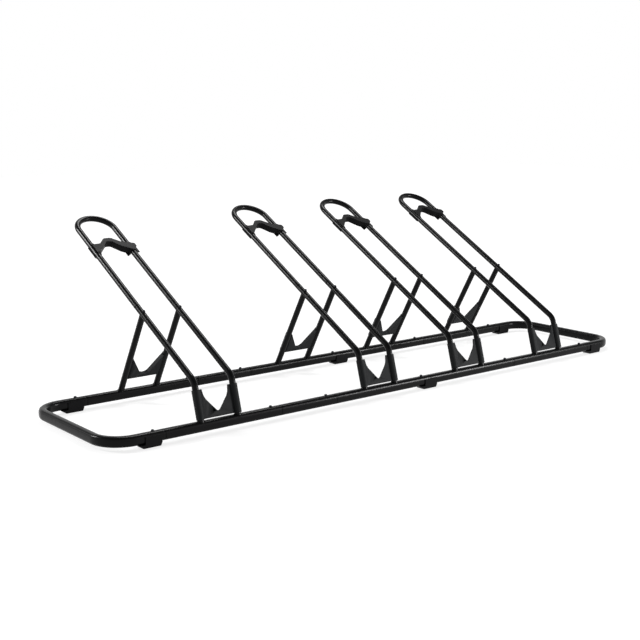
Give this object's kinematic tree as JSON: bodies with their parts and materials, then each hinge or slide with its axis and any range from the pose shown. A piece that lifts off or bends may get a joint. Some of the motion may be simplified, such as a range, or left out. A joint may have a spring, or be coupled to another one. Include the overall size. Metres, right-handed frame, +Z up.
{
  "type": "bicycle floor rack",
  "caption": "Low tubular floor rack that holds bicycles by the front wheel, with bent wheel loops, V plates and sliding wheel clips on a flat rail frame.",
  "frame": {"origin": "middle of the rack's outline, on the floor", "axes": "+X along the rack, to the right of someone who rolls a wheel in; +Y from the front rail to the back rail; +Z up"},
  "size_m": [1.798, 0.6444, 0.4621],
  "materials": {
    "powder_coat": "satin black powder coat on steel tube",
    "plate_plastic": "matte black moulded polypropylene",
    "clip_plastic": "matte black moulded nylon",
    "foot_plastic": "matte black moulded polypropylene",
    "bolt_steel": "black zinc plated steel"
  },
  "bodies": {
    "frame": {"end_frame_left": "powder_coat", "end_frame_right": "powder_coat", "front_spacer": "powder_coat", "back_spacer": "powder_coat", "front_rail_1": "powder_coat", "front_rail_2": "powder_coat", "front_rail_3": "powder_coat", "front_rail_4": "powder_coat", "back_rail_1": "powder_coat", "back_rail_2": "powder_coat", "back_rail_3": "powder_coat", "back_rail_4": "powder_coat", "wheel_loop_1": "powder_coat", "wheel_loop_2": "powder_coat", "wheel_loop_3": "powder_coat", "wheel_loop_4": "powder_coat", "front_v_plate_1": "plate_plastic", "front_v_plate_2": "plate_plastic", "front_v_plate_3": "plate_plastic", "front_v_plate_4": "plate_plastic", "rear_v_plate_1": "plate_plastic", "rear_v_plate_2": "plate_plastic", "rear_v_plate_3": "plate_plastic", "rear_v_plate_4": "plate_plastic", "front_foot_1": "foot_plastic", "front_foot_2": "foot_plastic", "front_foot_3": "foot_plastic", "back_foot_1": "foot_plastic", "back_foot_2": "foot_plastic", "back_foot_3": "foot_plastic", "front_rail_bolt_1": "bolt_steel", "front_rail_bolt_2": "bolt_steel", "front_rail_bolt_3": "bolt_steel", "front_rail_bolt_4": "bolt_steel", "front_rail_bolt_5": "bolt_steel", "front_rail_bolt_6": "bolt_steel", "back_rail_bolt_1": "bolt_steel", "back_rail_bolt_2": "bolt_steel", "back_rail_bolt_3": "bolt_steel", "back_rail_bolt_4": "bolt_steel", "back_rail_bolt_5": "bolt_steel", "back_rail_bolt_6": "bolt_steel", "leg_bolt_left_1": "bolt_steel", "leg_bolt_left_2": "bolt_steel", "leg_bolt_left_3": "bolt_steel", "leg_bolt_left_4": "bolt_steel", "leg_bolt_right_1": "bolt_steel", "leg_bolt_right_2": "bolt_steel", "leg_bolt_right_3": "bolt_steel", "leg_bolt_right_4": "bolt_steel"},
    "clip_1": {"wheel_clip_1": "clip_plastic"},
    "clip_2": {"wheel_clip_2": "clip_plastic"},
    "clip_3": {"wheel_clip_3": "clip_plastic"},
    "clip_4": {"wheel_clip_4": "clip_plastic"}
  },
  "joints": [
    {"name": "clip_slide_1", "type": "slide", "parent": "frame", "child": "clip_1", "axis": [0, 0.8755, 0.4833], "range_m": [-0.2165, 0.0685]},
    {"name": "clip_slide_2", "type": "slide", "parent": "frame", "child": "clip_2", "axis": [0, 0.8755, 0.4833], "range_m": [-0.2405, 0.0445]},
    {"name": "clip_slide_3", "type": "slide", "parent": "frame", "child": "clip_3", "axis": [0, 0.8755, 0.4833], "range_m": [-0.2335, 0.0515]},
    {"name": "clip_slide_4", "type": "slide", "parent": "frame", "child": "clip_4", "axis": [0, 0.8755, 0.4833], "range_m": [-0.25, 0.035]}
  ]
}
